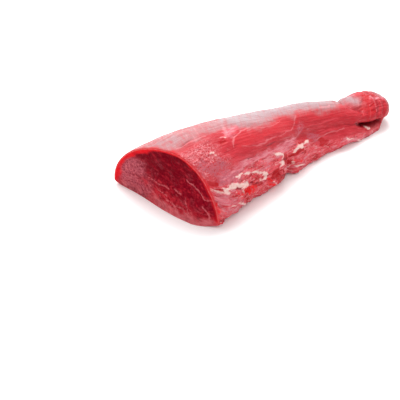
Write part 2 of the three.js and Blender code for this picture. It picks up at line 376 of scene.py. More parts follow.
def rise(low, high, value):
    """0 below low, 1 above high, and a smooth cubic between them."""
    t = np.clip((np.asarray(value, float) - low) / (high - low), 0, 1)
    return t * t * (3 - 2 * t)


def fade(low, high, value):
    """1 below low, 0 above high, and the same cubic between them."""
    return 1 - rise(low, high, value)


def bell(distance, half_width):
    """Gaussian: 1 at no distance, falling to a third at the half width."""
    return np.exp(-(distance / half_width) ** 2)


def curve_through(places, sizes, at):
    """Cubic Hermite curve through the sizes, whose tangent at each place is the mean of both slopes."""
    places = np.asarray(places, float)
    sizes = np.asarray(sizes, float)
    steps = np.diff(places)
    slopes = np.diff(sizes) / steps
    inner = (slopes[:-1] * steps[1:] + slopes[1:] * steps[:-1]) / (steps[1:] + steps[:-1])
    tangents = np.concatenate([slopes[:1], inner, slopes[-1:]])
    at = np.clip(at, places[0], places[-1])
    i = np.clip(np.searchsorted(places, at, side="right") - 1, 0, len(steps) - 1)
    t = (at - places[i]) / steps[i]
    start = (2 * t ** 3 - 3 * t ** 2 + 1) * sizes[i] + (t ** 3 - 2 * t ** 2 + t) * steps[i] * tangents[i]
    end = (3 * t ** 2 - 2 * t ** 3) * sizes[i + 1] + (t ** 3 - t ** 2) * steps[i] * tangents[i + 1]
    return start + end


def random_field(points, cell, seed, octaves):
    """Smooth random field of about -1 to 1. Random values on a cubic lattice are blended between the
    eight corners round each point, and each further octave is half as large and half as strong."""
    total = np.zeros(points.shape[:-1])
    for octave in range(octaves):
        lattice = np.random.default_rng(seed + octave).uniform(-1, 1, (LATTICE, LATTICE, LATTICE))
        scaled = points * 2 ** octave / np.asarray(cell, float)
        low = np.floor(scaled).astype(int)
        t = rise(0, 1, scaled - low)
        value = np.zeros(total.shape)
        for corner in itertools.product((0, 1), repeat=3):
            weight = np.prod(np.where(corner, t, 1 - t), axis=-1)
            value += weight * lattice[tuple(np.moveaxis((low + corner) % LATTICE, -1, 0))]
        total += 1.5 * value / 2 ** octave
    return total


def field(name, points):
    """The named random field at the points."""
    return random_field(points, *FIELDS[name])


def path_distance(path, across, down):
    """Distance from every point to the nearest segment of the path."""
    best = np.full(np.shape(across), np.inf)
    for (ax, ay), (bx, by) in zip(path, path[1:]):
        length = (bx - ax) ** 2 + (by - ay) ** 2
        t = np.clip(((across - ax) * (bx - ax) + (down - ay) * (by - ay)) / length, 0, 1)
        best = np.minimum(best, np.hypot(across - ax - t * (bx - ax), down - ay - t * (by - ay)))
    return best


def groove(path, across, down, half_width):
    """A bell of height 1 across the path."""
    return bell(path_distance(path, across, down), half_width)


def inside_distance(outline, across, down):
    """Distance to a closed outline, positive inside it by the even-odd rule."""
    closed = outline + outline[:1]
    inside = np.zeros(np.shape(across), bool)
    for (ax, ay), (bx, by) in zip(closed, closed[1:]):
        if ay != by:
            crosses = (down < ay) != (down < by)
            inside ^= crosses & (across < ax + (down - ay) * (bx - ax) / (by - ay))
    return np.where(inside, 1, -1) * path_distance(closed, across, down)


def strokes(marks, across, down, softness, fray=0.0):
    """Highest over the paths of the half width, widened by the share that the fray gives, less the
    distance to the path, in units of twice the softness, and moved by a half: 0.5 on each edge."""
    total = np.full(np.shape(across), -1.0)
    for mark in marks:
        reach = mark[0] * (1 + fray) - path_distance(mark[-1], across, down)
        total = np.maximum(total, 0.5 + reach / (2 * softness))
    return np.clip(total, 0, 1)


# The bare form of the roast

def middle_line(x):
    """Sideways place and height of the line that the sections are drawn round."""
    high = curve_through(PLACE, HIGH, x)
    drop = MIDDLE_DROP * fade(0, MIDDLE_DROP_REACH, x)
    lift = MIDDLE_RISE * rise(*MIDDLE_RISES, x)
    return curve_through(PLACE, CROWN, x), high * (MIDDLE_HEIGHT - drop + lift)


def rolled_under(x, y):
    """0 where the roast has a foot, and 1 beyond the slanting end of the flap, where it is rolled under."""
    end = FLAP_END[0] + FLAP_SLOPE * (y - FLAP_END[1])
    return rise(end - FLAP_SOFTNESS, end + FLAP_SOFTNESS, x)


def outline_offset(x, angle):
    """Outline of a section as an offset from the middle line. Cosine and sine of the angle, each raised
    to 2 over the squareness of its arch, are stretched to the near, far, upper and lower reach.
    Where the tail is rolled under, the lower half is a plain half ellipse."""
    c, s = np.cos(angle), np.sin(angle)
    far_arch = FAR_ARCH_AT_CUT + (FAR_ARCH_AT_TAIL - FAR_ARCH_AT_CUT) * rise(*FAR_ARCH_CHANGE, x)
    arch = np.where(c > 0, NEAR_ARCH, far_arch)
    sideways = np.where(s > 0, arch, FOOT_SIDEWAYS)
    upright = np.where(s > 0, arch, FOOT_UPRIGHT)
    reach = np.where(c > 0, curve_through(PLACE, NEAR, x), curve_through(PLACE, FAR, x))
    middle = middle_line(x)[1]
    foot = FOOT_DEPTH + FLAP_FOOT_DEPTH * rise(*FLAP_FOOT_DEEPENS, x)
    tall = np.where(s > 0, curve_through(PLACE, HIGH, x) - middle, middle * foot)
    y = -reach * np.sign(c) * np.abs(c) ** (2 / sideways)
    z = tall * np.sign(s) * np.abs(s) ** (2 / upright)
    under = rolled_under(x, curve_through(PLACE, CROWN, x) + y) * (s < 0)
    return y + under * (-reach * c - y), z + under * (ROLL_DEPTH * middle * s - z)


def column_angles(count):
    """Angles that are evenly spaced along the outline of a typical section, sparser on the far side
    and under the base."""
    fine = np.linspace(-np.pi / 2, 1.5 * np.pi, OUTLINE_STEPS)
    y, z = outline_offset(np.full_like(fine, TYPICAL_PLACE), fine)
    on_base = z + middle_line(TYPICAL_PLACE)[1] <= 0
    weight = 1 - (1 - FAR_DENSITY) * rise(*FAR_COLUMNS, fine[1:])
    weight = np.where(on_base[1:] & on_base[:-1], BASE_DENSITY, weight)
    walked = np.concatenate([[0], np.cumsum(weight * np.hypot(np.diff(y), np.diff(z)))])
    return np.interp(np.arange(count) / count * walked[-1], walked, fine)


def row_places(count):
    """Places along the roast: even along the body, then by a quarter sine where the tail rounds off."""
    t = np.arange(count) / count
    round_part = np.clip((t - TAIL_ROWS) / (1 - TAIL_ROWS), 0, 1)
    tail = 1 - (1 - TAIL_LENGTH) * (1 - np.sin(round_part * np.pi / 2))
    return LENGTH * np.where(round_part > 0, tail, t / TAIL_ROWS * TAIL_LENGTH)


def slanted(x, y, z):
    """Shears the cut end: x moves by the slant times y and the lean times z, and by the bulge at the
    foot. All of it dies out along the roast."""
    share = fade(0, SLANT_REACH, x)
    bulge = FOOT_BULGE * fade(0, FOOT_BULGE_HIGH, z) * fade(0, FOOT_BULGE_BACK, x)
    bulge = bulge * rise(*FOOT_BULGE_START, y) * fade(*FOOT_BULGE_END, y)
    return np.stack(np.broadcast_arrays(x - share * (CUT_SLANT * y + CUT_LEAN * z) - bulge, y, z), -1)


# Relief in millimetres outwards

def seam_depth(along, down):
    """A groove that deepens away from the cut and ends where the slit starts."""
    depth = SEAM_DEPTH + SEAM_DEEPENING * rise(*SEAM_DEEPENS, along)
    return depth * groove(SEAM, along, down, SEAM_HALF_WIDTH) * fade(*SEAM_ENDS, along)


def slit_depth(along, down):
    """A groove that starts shallow and gets deeper towards the end of the flap."""
    opening = rise(*SLIT_OPENS, along) * fade(*SLIT_ENDS, along)
    return SLIT_DEPTH * opening * groove(SLIT, along, down, SLIT_HALF_WIDTH)


def strip_swell(along, down):
    """Long soft lumps of the strip between the seam and the lower edge, as a sine wave."""
    top = STRIP_TOP + STRIP_DROP * fade(0, STRIP_DROP_REACH, along)
    across = rise(top, top + STRIP_EDGE, down) * fade(STRIP_BOTTOM - STRIP_EDGE, STRIP_BOTTOM, down)
    wave = np.sin(2 * np.pi * along / STRIP_LUMP_LENGTH + down / STRIP_SHIFT)
    ends = rise(*STRIP_STARTS, along) * fade(*STRIP_ENDS, along)
    return across * ends * (STRIP_SWELL + STRIP_LUMP * wave)


def edge_bites(along, angle):
    """Bites out of the lower edge of the near side, one bell along the roast for each."""
    low = fade(*NOTCH_REACH, np.abs(np.degrees(angle) - NOTCH_ANGLE))
    return low * sum(depth * bell(along - at, width) for at, width, depth in EDGE_NOTCHES)


def unevenness(along, angle):
    """Shallow hollows and swellings all over: sine waves along the roast that also run round it."""
    return sum(height * np.sin(along / length + turns * angle + start)
               for length, turns, start, height in WAVES)


def main_relief(grid):
    """The large folds: waves, slit, seam, strip, bites in the edge, neck and curls of the rolled tail."""
    along, down = grid.along, grid.down
    relief = unevenness(along, grid.angle) - edge_bites(along, grid.angle)
    relief -= sum(depth * groove(path, along, down, width) for path, depth, width, _, _ in CREASES)
    return relief + grid.near * (strip_swell(along, down) - slit_depth(along, down) - seam_depth(along, down))


def closing(x):
    """How much a section has closed in at the round end of the tail."""
    t = np.clip((x - ROLL_FROM) / (LENGTH - ROLL_FROM), 0, 1)
    return np.sqrt(1 - t ** ROLL_ROUNDNESS)


class RoastGrid:
    """Rows of points round the roast, with each point's place on the surface in millimetres."""

    def __init__(self):
        self.along, self.angle = np.meshgrid(row_places(ROWS), column_angles(COLUMNS), indexing="ij")
        self.centre_y, self.centre_z = middle_line(self.along)
        self.offset_y, self.offset_z = outline_offset(self.along, self.angle)
        steps = np.hypot(np.diff(self.offset_y, axis=1), np.diff(self.offset_z, axis=1))
        walked = np.concatenate([np.zeros((ROWS, 1)), np.cumsum(steps, axis=1)], axis=1)
        crown = int(np.argmax(self.angle[0] >= np.pi / 2))
        self.down = walked[:, crown:crown + 1] - walked
        self.near = self.angle < np.pi / 2
        self.flow = self.down - FLOW_DIP * (1 - np.exp(-self.along / FLOW_REACH)) + FLOW_RISE * self.along
        self.tape = self.flat_points(self.along, self.down)
        self.flow_tape = self.flat_points(self.along, self.flow)

    def flat_points(self, first, second):
        """Both coordinates as points of a plane, for the random fields."""
        return np.stack([first, second, np.zeros_like(first)], -1)

    def turned(self, slope):
        """The surface's own coordinates, turned so that the first runs along lines of the given slope."""
        turn = math.atan(slope)
        first = self.along * math.cos(turn) + self.down * math.sin(turn)
        return self.flat_points(first, self.down * math.cos(turn) - self.along * math.sin(turn))

    def points(self, relief):
        """Each offset grows by the relief and shrinks where the tail closes, down to the table at most."""
        radius = np.hypot(self.offset_y, self.offset_z)
        scale = closing(self.along) * (1 + relief / radius)
        z = np.maximum(self.centre_z + self.offset_z * scale, 0)
        return slanted(self.along, self.centre_y + self.offset_y * scale, z)


def skin_marks(along, down, bend, streaks, far_side):
    """The silvery skin lies above its edge and beyond its slanting start, and is thicker and whiter further
    up, partly as a painted sheen; a painted sheen of its colour is added at the neck and along the tail's
    outer edge. The halo is a wider, softer band along the same edge. The blush lies over the crown as far as
    the skin."""
    edge = curve_through(*np.transpose(SILVER_EDGE), along) - down
    start = along - SILVER_START[0] - SILVER_START_LEAN * (SILVER_START[1] - down)
    silver_and_sheen = rise(-5, 9, edge + 1.2 * streaks + 2 * bend) * rise(-12, 10, start + 6 * streaks)
    silver_and_sheen = silver_and_sheen * (0.62 + 0.38 * rise(3, 17, edge + 2 * bend + streaks))
    silver_and_sheen = silver_and_sheen * fade(*SILVER_ENDS, along + 2 * bend) * (1 - 0.9 * far_side)
    # Painted sheen, added to the silvery skin's mark
    sheen = np.max([share * groove(path, along, down, width) for share, width, path in SHEEN], axis=0)
    halo = rise(-10, 3, edge + 1.2 * streaks + 2 * bend) * rise(56, 76, along)
    blush = rise(-5, 5, 1 + 2 * bend - down) * fade(60, 78, along) * (1 - silver_and_sheen)
    return {
        "silver_and_sheen": np.clip(silver_and_sheen + 0.85 * sheen, 0, 1),
        "halo": halo * fade(230, 242, along) * (1 - 0.6 * far_side),
        "blush": blush * (1 - 0.75 * far_side),
    }


def surface_marks(grid):
    """Where each finish lies, 0 to 1: paths, outlines and stretches on the surface, bent by random fields.
    Some of them are painted light: shade on the far side and near the cut, shade in the creases and folds,
    the sheen of the silvery skin, and the glow of the rim next to the cut.
    """
    bend = field("bend_along", grid.tape)
    along = grid.along + 0.8 * bend
    down = grid.down + 0.7 * field("bend_down", grid.tape)
    ragged = field("ragged", grid.flow_tape)
    streaks = field("streaks", grid.turned(SKIN_SLOPE))
    far_side = rise(*FAR_SIDE, -grid.down + 9 * bend + 4 * streaks)
    strip_top = 33 + 13 * fade(0, 110, along) + 7 * rise(145, 165, along)
    strip = rise(-2, 3, down - strip_top) * (1 - 0.15 * rise(150, 180, along))
    far_top = 46 + 34 * fade(0, 220, along)
    strip = np.maximum(strip, 0.6 * rise(-3, 6, -grid.down + 4 * bend - far_top))
    # Painted shade: darker muscle along the middle of the near flank towards the tail, and below the blush
    # near the cut; the whole far side is added to it below
    shaded = rise(100, 150, along) * rise(2, 12, down) * fade(30, 40, down)
    shaded += fade(42, 56, along) * rise(-4, 2, down) * fade(14, 24, down)
    # Painted shade in the creases: along the slit's floor, in the neck and in the curls, kept off the fat in
    # the slit
    deep = groove(SLIT_FLOOR, grid.along, grid.down, SLIT_SHADE_HALF_WIDTH) * grid.near
    for path, _, _, shade_strength, width in CREASES:
        deep = np.maximum(deep, shade_strength * groove(path, along, down, width))
    marks = {
        "run": grid.along * MM,
        "fall": grid.down * closing(grid.along) * MM,
        "flow": grid.flow * MM,
        "strip": strip * fade(250, 262, along),
        "lens": rise(0.4, 0.6, 0.5 + 0.125 * inside_distance(LENS, along, down)),
        "dark": groove(DARK_BAND, along, down, DARK_HALF_WIDTH),
        "shaded": np.maximum(shaded, far_side),
        "knob": rise(*KNOB_STARTS, along),
        "grain": rise(2, 12, down) * fade(32, 44, down) * fade(22, 44, along + 3 * bend),
        "crease_shade": deep * (1 - 0.9 * strokes(FAT, grid.along, grid.down, 1)),
        # Painted glow of light through the outer layer, in a narrow band next to the cut
        "rim": fade(0.4, 2.4, grid.along + 0.5 * bend),
    }
    for name, paths, softness, fray in (
            ("film", FILM, 4, 0.4), ("purple", PURPLE, 4, 0.5), ("bare", BARE, 2.5, 0.6),
            ("wet", WET, 2.5, 0.6), ("fold", FOLDS, 1.5, 0.6), ("pale", PALE_LINES, 1.5, 0),
            ("fat", FAT, 2, 0.35)):
        marks[name] = strokes(paths, along, down, softness, fray * ragged)
    return marks | skin_marks(along, down, bend, streaks, far_side)


def fine_relief(grid, marks):
    """What is too fine for the main form: fibres, grains near the cut, lifted fat, the flaky, ragged strip
    with its bare hollows, and the filled walls of the slit. It dies out at the rim, which is rounded."""
    ragged = rise(44, 60, grid.down) * fade(84, 96, grid.down)
    flakes = 0.8 * field("flakes", grid.flow_tape) + 0.3 * field("small_flakes", grid.flow_tape)
    fat_lift = np.zeros_like(grid.down)
    for width, lift, path in FAT:
        fat_lift = np.maximum(fat_lift, lift * groove(path, grid.along, grid.down, width + 0.3))
    relief = 0.16 * field("fibres", grid.tape) * (1 - 0.5 * marks["silver_and_sheen"])
    relief += 0.3 * field("grains", grid.tape) * marks["grain"]
    relief += flakes * marks["strip"] * (0.5 + 0.9 * ragged)
    relief += 0.5 * field("lumps", grid.tape) * (0.3 + 1.2 * ragged)
    relief += fat_lift * (0.7 + 0.5 * field("fat", grid.tape))
    relief += 0.3 * rise(0.35, 0.6, marks["lens"]) - 0.7 * rise(0.4, 0.9, marks["bare"])
    relief -= 0.5 * rise(0.3, 0.7, marks["fold"])
    above_floor = rise(*SLIT_FILL_FROM, path_distance(SLIT_FLOOR, grid.along, grid.down))
    relief += SLIT_FILL * above_floor * grid.near * slit_depth(grid.along, grid.down)
    return relief * rise(0, 4, grid.along) - 0.7 * fade(0, 1.6, grid.along)


def ring_shares(count):
    """Shares of the way from the middle of the cut to its rim, closest together at the rim."""
    t = np.arange(1, count + 1) / (count + 1)
    return 1 - (RING_SPACING[0] * t + RING_SPACING[1] * t ** 2)


def face_points(edge):
    """The cut face: rings that shrink towards the middle, sunk behind the rim, hollowed and softly lumpy."""
    middle_y, middle_z = middle_line(0.0)
    middle = slanted(0.0, middle_y, middle_z)
    share = ring_shares(RINGS)[:, None]
    out_y, out_z = edge[None, :, 1] - middle_y, edge[None, :, 2] - middle_z
    rings = slanted(0.0, middle_y + out_y * share, middle_z + out_z * share)
    inside = np.hypot(out_y, out_z) * (1 - share)
    flat = rings * [0, 1, 1]
    lumps = 0.5 * field("face_lumps", flat) + 0.25 * field("face_grains", flat)
    veins = rise(0.4, 0.7, strokes(CUT_VEINS, rings[..., 1], rings[..., 2], 1))
    sunk = FACE_SUNK * rise(*FACE_SINKS, inside) + FACE_HOLLOW * (1 - share ** 2)
    rings[..., 0] += sunk + (lumps - 0.25 * veins) * rise(2, 8, inside)
    return rings, middle + [FACE_SUNK + FACE_HOLLOW, 0, 0], inside


def face_marks(rings, inside):
    """Where the finishes of the cut face lie, 0 to 1, among them painted shade under the top of the rim,
    painted light low down and at the foot, and the rim's painted glow.
    """
    flat = rings * [0, 1, 1]
    bend = field("face_bend_side", flat)
    side = rings[..., 1] + 0.6 * bend
    up = rings[..., 2] + 0.6 * field("face_bend_up", flat)
    # The rim's painted glow: wider towards both sides, and left off near the floor
    width = 3.6 + 1.6 * rise(-22, -44, side) + 1.2 * rise(20, 48, side)
    rim = fade(0.5, 1.3, (inside + 1.1 * bend) / width) * rise(1, 7, rings[..., 2])
    return {
        "run": rings[..., 1] * MM,
        "fall": rings[..., 2] * MM,
        "vein": strokes(CUT_VEINS, side, up, 1.5),
        "mauve": rise(6, 36, side + 5 * bend) * fade(46, 58, side) * fade(34, 44, up),
        # Painted shade under the top of the rim
        "shade": rise(20, 40, up + 0.35 * side + 3 * bend) * fade(24, 40, side),
        # Painted light: the cut gets brighter low down
        "low": fade(4, 28, up - 0.15 * side + 3 * bend),
        # Painted light: a lighter band at the foot of the cut
        "foot": fade(3, 9, up + 1.5 * bend) * (1 - 0.6 * rise(-4, 20, side)),
        "rim": rim * (1 - 0.3 * rise(-28, -42, rings[..., 1])),
        "lip": fade(0.4, 1.3, inside) * rise(2, 8, rings[..., 2]),
    }


# Meshes

def closed_skin(name, start, rows, end):
    """Joins rows of equal length into one closed mesh, with a fan of triangles at each end."""
    count = rows.shape[1]
    vertices = np.concatenate([start[None], rows.reshape(-1, 3), end[None]])
    column = np.arange(count)
    after = (column + 1) % count
    first = 1 + np.arange(rows.shape[0] - 1)[:, None] * count
    quads = np.stack([first + column, first + count + column, first + count + after, first + after], -1)
    last = 1 + (rows.shape[0] - 1) * count
    fan_start = np.stack([np.zeros(count, int), 1 + column, 1 + after], -1)
    fan_end = np.stack([np.full(count, len(vertices) - 1), last + after, last + column], -1)
    mesh = bpy.data.meshes.new(name)
    faces = fan_start.tolist() + quads.reshape(-1, 4).tolist() + fan_end.tolist()
    mesh.from_pydata((vertices * MM).tolist(), [], faces)
    mesh.shade_smooth()
    return mesh


def shift_to_frame(points):
    """How far the bare form's points move, from the roast's own axes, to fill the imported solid's box."""
    low, high = (np.array(corner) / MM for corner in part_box(NODE))
    shift = (low + high) / 2 - (points.min(0) + points.max(0)) / 2
    return np.array([shift[0], shift[1], 0.0])


# Materials

class Shader:
    """Adds the nodes of one material, each wired to what it is given. A number may be a socket, or the name
    of a mark that is stored on the mesh."""

    def __init__(self, name, looks, base):
        self.looks = looks
        self.material = bpy.data.materials.new(name)
        self.material.use_nodes = True
        self.tree = self.material.node_tree
        self.surface = self.tree.nodes["Principled BSDF"]
        self.place = self.add("TexCoord", {}).outputs["Object"]
        self.marks = {}
        self.skin = self.pair("run", "fall")
        self.colour = tuple(getattr(looks, base))

    def add(self, kind, inputs, **settings):
        """A node of the kind with its settings, and its inputs wired or set."""
        node = self.tree.nodes.new("ShaderNode" + kind)
        for name, value in settings.items():
            setattr(node, name, value)
        for name, value in inputs.items():
            self.feed(node.inputs[name], value)
        return node

    def feed(self, socket, value):
        """Wires a socket, or sets its number or colour."""
        if isinstance(value, str):
            value = self.mark(value)
        if isinstance(value, bpy.types.NodeSocket):
            self.tree.links.new(value, socket)
        else:
            socket.default_value = value

    def mark(self, name):
        """A number stored on the mesh."""
        if name not in self.marks:
            self.marks[name] = self.add("Attribute", {}, attribute_name=name).outputs["Fac"]
        return self.marks[name]

    def pair(self, first, second):
        """Two numbers, joined into one place."""
        return self.add("CombineXYZ", {"X": first, "Y": second}).outputs["Vector"]

    def math(self, operation, a, b=0.0, c=0.0, clamp=False):
        """One sum of two or three numbers."""
        return self.add("Math", {0: a, 1: b, 2: c}, operation=operation, use_clamp=clamp).outputs["Value"]

    def noise(self, scale, detail=3.0, roughness=0.55, place=None):
        """Noise with so many cells a metre. Its values crowd round a half, and are spread over 0 to 1."""
        node = self.add("TexNoise", {"Vector": place or self.place, "Scale": scale, "Detail": detail,
                                     "Roughness": roughness})
        return self.math("MULTIPLY_ADD", node.outputs["Fac"], *NOISE_SPREAD, clamp=True)

    def fibres(self, scale, length, slope=0.0, seed=0.0, detail=3.0, roughness=0.6, place=None):
        """Noise drawn out into fibres on the surface, so many to the metre and so many times as long as wide,
        which run along lines of the given slope."""
        drawn = self.add("Mapping", {"Vector": place or self.skin, "Location": (0.0, 0.0, seed),
                                     "Rotation": (0.0, 0.0, math.atan(slope)), "Scale": (length, 1.0, 1.0)},
                         vector_type="TEXTURE")
        return self.noise(scale, detail, roughness, drawn.outputs["Vector"])

    def between(self, value, low, high, out_low=0.0, out_high=1.0):
        """Spreads the stretch from low to high smoothly over the output stretch."""
        return self.add("MapRange", {"Value": value, "From Min": low, "From Max": high, "To Min": out_low,
                                     "To Max": out_high}, interpolation_type="SMOOTHSTEP").outputs["Result"]

    def cover(self, colour, *shares):
        """Covers what is painted so far with a colour of the looks, by the product of the shares. A tuple
        of a number and stretches is spread as between does."""
        shares = [self.between(*share) if isinstance(share, tuple) else share for share in shares]
        share = shares[0]
        for factor in shares[1:]:
            share = self.math("MULTIPLY", share, factor)
        over = tuple(getattr(self.looks, colour))
        self.colour = self.add("Mix", {0: share, 6: self.colour, 7: over}, data_type="RGBA").outputs[2]

    def frayed(self, name, noise, amount, softness):
        """A stored mark cut off at its edge, which a noise of the given amount frays."""
        shifted = self.math("MULTIPLY_ADD", noise, amount, name)
        middle = 0.5 + 0.5 * amount
        return self.between(shifted, middle - softness, middle + softness)

    def bumps(self, *layers):
        """Bumps one over the other: (height of 0 to 1, depth in metres, strength)."""
        under = {}
        for height, distance, strength in layers:
            node = self.add("Bump", {"Height": height, "Distance": distance, "Strength": strength} | under)
            under = {"Normal": node.outputs["Normal"]}
        return under["Normal"]


def linear(red, green, blue):
    """A screen colour of 0 to 255 as the linear colour that shaders take."""
    def channel(value):
        value = value / 255
        return value / 12.92 if value <= 0.04045 else ((value + 0.055) / 1.055) ** 2.4
    return channel(red), channel(green), channel(blue), 1.0


def set_flesh(shader, shine, roughness, normal, coat):
    """What all raw meat shares: a little light gets in, and a thin wet layer lies on top."""
    looks = shader.looks
    for name, value in {
        "Base Color": shader.colour, "Roughness": roughness, "Normal": normal, "IOR": MEAT_IOR,
        "Specular IOR Level": shine, "Subsurface Weight": looks.translucency,
        "Subsurface Radius": LIGHT_SHARES, "Subsurface Scale": LIGHT_REACH,
        "Coat Weight": shader.math("MULTIPLY", coat, looks.wetness), "Coat Normal": normal,
        "Coat Roughness": WET_ROUGHNESS, "Coat IOR": WATER_IOR,
    }.items():
        shader.feed(shader.surface.inputs[name], value)


def outer_meat(looks):
    """The outside: red muscle with fibres along the roast, darkened by painted shade on the far side and near
    the cut, covered in turn by the flaky strip, grains, films, bare meat, painted shade in the folds, silvery
    skin with its painted sheen, pale lines and fat, then the painted glow of the rim and painted shade in the
    creases."""
    s = Shader("outer_meat", looks, "muscle")
    blotches = s.noise(70)
    lumps = s.noise(260, roughness=0.6)
    grains = s.noise(700, roughness=0.65)
    fibres = s.fibres(420, 14, seed=1, detail=4)
    fine = s.fibres(1000, 12, slope=0.05, seed=2)
    diagonal = s.fibres(330, 9, slope=SKIN_SLOPE, seed=3, detail=4)
    strip_place = s.pair("run", "flow")
    flakes = s.fibres(190, 3.5, seed=4, detail=5, roughness=0.7, place=strip_place)
    fine_flakes = s.fibres(480, 5, seed=5, detail=4, roughness=0.7, place=strip_place)

    s.cover("muscle_dark_and_shade", (blotches, 0.35, 0.9, 0, 0.6))
    s.cover("muscle_dark_and_shade", "dark", (fibres, 0.2, 0.7, 0.25, 0.7))
    s.cover("muscle_dark_and_shade", "knob", 0.95)
    s.cover("lens", "lens", (lumps, 0.2, 0.8, 0.95, 0.6))
    # Painted shade, where the shaded mark lies
    s.cover("muscle_dark_and_shade", "shaded", (blotches, 0.1, 0.8, 0.8, 0.4))
    s.cover("fibre", (fibres, 0.55, 0.95, 0, 0.7), ("lens", 0, 1, 1, 0.25))
    s.cover("muscle_dark_and_shade", (fibres, 0.4, 0.1, 0, 0.75))
    s.cover("fibre", (fine, 0.6, 0.9, 0, 0.55), ("lens", 0, 1, 1, 0.35))
    # Painted shade between the fine fibres
    s.cover("fold", (fine, 0.35, 0.1, 0, 0.35))

    s.cover("strip", "strip", (lumps, 0.2, 0.7, 0.6, 1))
    s.cover("bare", "strip", (flakes, 0.46, 0.2, 0, 0.95))
    s.cover("film", "strip", (flakes, 0.54, 0.75, 0, 0.9))
    s.cover("pale", "strip", (fine_flakes, 0.58, 0.85, 0, 0.75))
    # Painted shade between the flakes of the strip
    s.cover("fold", "strip", (fine_flakes, 0.36, 0.1, 0, 0.8))
    s.cover("fat", "strip", (grains, 0.74, 0.98, 0, 0.8))

    s.cover("grain", "grain", (lumps, 0.2, 0.7, 0.5, 0.9))
    s.cover("bare", "grain", (grains, 0.46, 0.15, 0, 0.85))
    s.cover("pale", "grain", (grains, 0.54, 0.85, 0, 0.9))

    s.cover("film", ("film", 0.2, 0.9), (fine_flakes, 0.3, 0.65, 0.4, 1))
    s.cover("pale", ("film", 0.2, 0.9), (fine_flakes, 0.5, 0.8, 0, 0.6))
    s.cover("purple", ("purple", 0.2, 0.9), (grains, 0.3, 0.6, 0.1, 0.8))
    s.cover("bare", s.frayed("bare", flakes, 0.5, 0.2), (lumps, 0.2, 0.5, 0.7, 1))
    s.cover("wet", s.frayed("wet", flakes, 0.8, 0.2), (lumps, 0.3, 0.6, 0.35, 1))
    # Painted shade in the thin folds
    s.cover("fold", s.frayed("fold", flakes, 0.2, 0.12), 0.8)

    s.cover("blush", "blush", (diagonal, 0.1, 0.7, 0.6, 1))
    s.cover("silver_and_sheen", "blush", (blotches, 0.45, 0.15, 0, 0.4))
    s.cover("pale", "blush", (diagonal, 0.6, 0.95, 0, 0.35))
    s.cover("muscle", "blush", (lumps, 0.55, 0.9, 0, 0.4), (blotches, 0.3, 0.6))
    s.cover("blush", "halo", (diagonal, 0.2, 0.7, 0.6, 1))
    # Silvery skin, whiter towards the top as a painted sheen, with the painted sheen of the neck and tail
    s.cover("silver_and_sheen", "silver_and_sheen", (diagonal, 0.1, 0.6, 0.7, 1))
    s.cover("blush", "silver_and_sheen", (diagonal, 0.5, 0.15, 0, 0.25))
    s.cover("purple", "silver_and_sheen", (lumps, 0.4, 0.1, 0, 0.15))
    s.cover("pale", "knob", (diagonal, 0.6, 0.95, 0, 0.15))
    # Painted shade between the fibres of the knob
    s.cover("fold", "knob", (diagonal, 0.35, 0.1, 0, 0.3))

    s.cover("pale", s.frayed("pale", fibres, 0.3, 0.2), 0.38)
    s.cover("pale", s.frayed("fat", lumps, 0.2, 0.3), 0.6)
    s.cover("fat", s.frayed("fat", fine_flakes, 0.65, 0.14), (grains, 0.1, 0.6, 0.5, 1))
    # Painted glow of the rim next to the cut
    s.cover("cut_rim_glow", "rim", 0.7)
    # Painted shade, deep in the creases
    s.cover("crease_shade", "crease_shade", 0.95)

    grainy = s.math("MULTIPLY", grains, s.between("grain", 0, 1, 0.25, 1))
    normal = s.bumps((fibres, 0.0008, 0.6), (fine, 0.0003, 0.6),
                     (s.math("MULTIPLY", flakes, "strip"), 0.0014, 0.7),
                     (s.math("MULTIPLY", fine_flakes, "strip"), 0.0005, 0.6), (grainy, 0.0006, 0.7))
    set_flesh(s, looks.shine, s.between(blotches, 0.1, 0.9, 0.36, 0.52), normal,
              s.between("silver_and_sheen", 0, 1, 1, 0.6))
    return s.material


